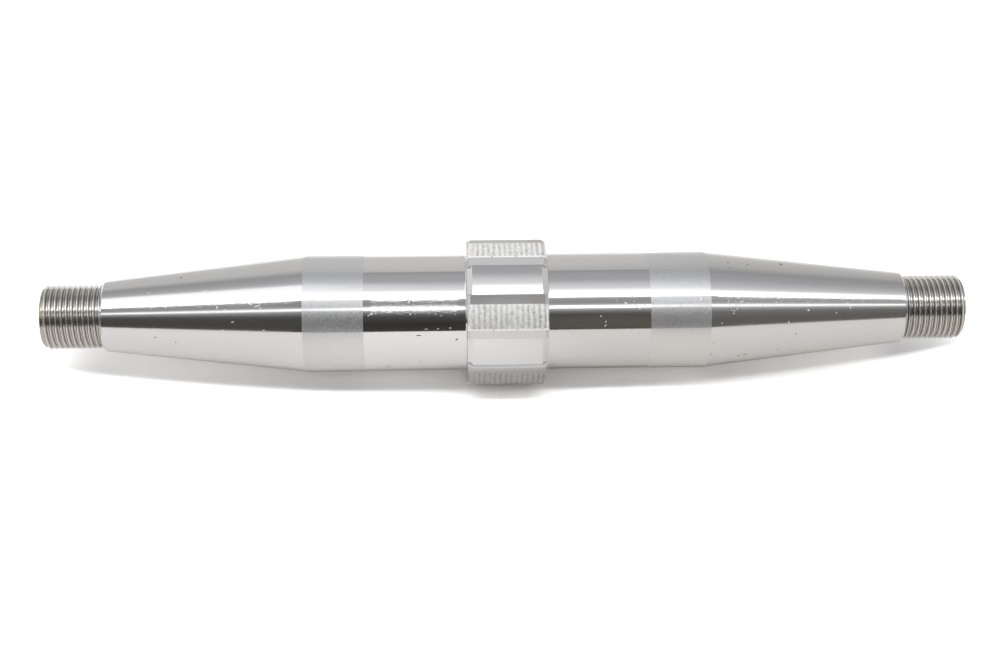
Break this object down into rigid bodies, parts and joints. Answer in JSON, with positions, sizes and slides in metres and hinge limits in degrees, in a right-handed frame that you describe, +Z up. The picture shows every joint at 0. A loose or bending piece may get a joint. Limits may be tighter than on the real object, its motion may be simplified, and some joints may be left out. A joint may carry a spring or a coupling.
{
  "type": "shaft",
  "caption": "Polished steel shaft with a padded collar at mid-length, plain journals, tapers and threaded ends.",
  "frame": {"origin": "on the shaft's axis, at the middle of the collar", "axes": "+X along the shaft, +Z up, with one collar pad facing straight down"},
  "size_m": [0.364, 0.0576, 0.0588],
  "materials": {
    "steel": "polished, with matt bands and rough collar pads"
  },
  "bodies": {
    "root": {"shaft": "steel"}
  },
  "joints": []
}
